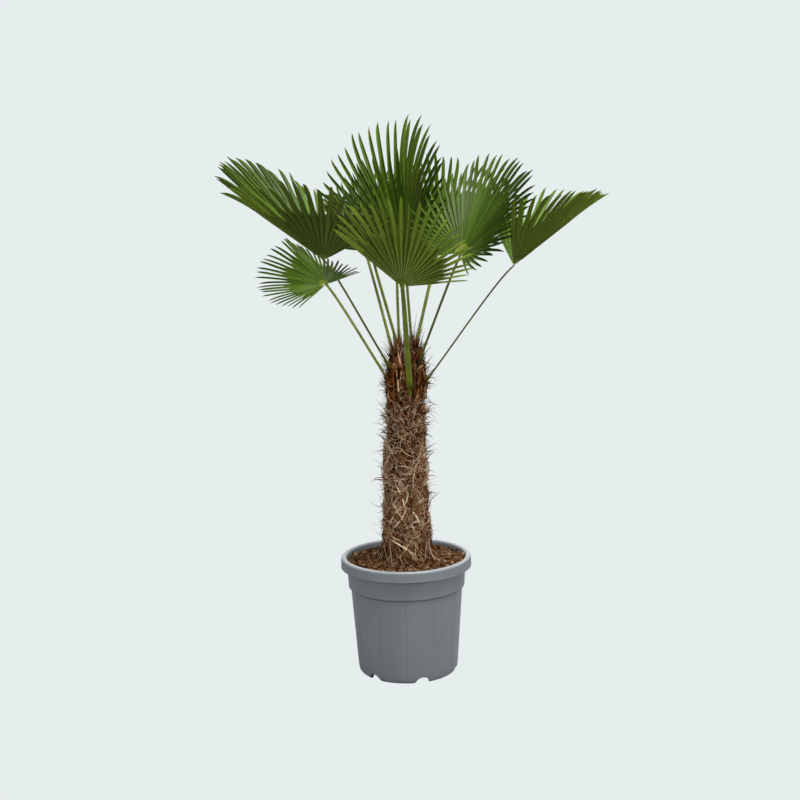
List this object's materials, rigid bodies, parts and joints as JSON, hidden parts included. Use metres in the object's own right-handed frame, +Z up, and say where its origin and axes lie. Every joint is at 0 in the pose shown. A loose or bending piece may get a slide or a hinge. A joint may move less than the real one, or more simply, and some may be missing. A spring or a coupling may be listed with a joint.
{
  "type": "potted windmill palm",
  "caption": "Young windmill palm with a fibre-clad upright trunk, long-stalked pleated fan leaves and a round grey nursery pot with a rolled rim.",
  "frame": {"origin": "middle of the flat underside of the pot, on the ground it stands on", "axes": "+Z up along the trunk, -Y towards the plant's front as pictured, +X to the viewer's right"},
  "size_m": [1.0727, 1.27, 1.6867],
  "materials": {
    "pot": "moulded, satin, slightly dusty",
    "soil": "coarse fibrous potting mix",
    "trunk_fibre": "matted brown fibre with pale strands",
    "stalk": "smooth green, satin",
    "frond": "leathery pleated leaf, satin"
  },
  "bodies": {
    "root": {"pot": "pot", "potting_soil": "soil", "trunk": "trunk_fibre", "stalk_front": "stalk", "stalk_back_high": "stalk", "stalk_back_mid": "stalk", "stalk_left": "stalk", "stalk_left_low": "stalk", "stalk_right": "stalk", "stalk_right_far": "stalk", "stalk_back_left": "stalk", "stalk_back_left_high": "stalk", "stalk_back_right": "stalk", "frond_front_l": "frond", "frond_front_r": "frond", "frond_back_high_l": "frond", "frond_back_high_r": "frond", "frond_back_mid_l": "frond", "frond_back_mid_r": "frond", "frond_left_l": "frond", "frond_left_r": "frond", "frond_left_low_l": "frond", "frond_left_low_r": "frond", "frond_right_l": "frond", "frond_right_r": "frond", "frond_right_far_l": "frond", "frond_right_far_r": "frond", "frond_back_left_l": "frond", "frond_back_left_r": "frond", "frond_back_left_high_l": "frond", "frond_back_left_high_r": "frond", "frond_back_right_l": "frond", "frond_back_right_r": "frond"}
  },
  "joints": []
}
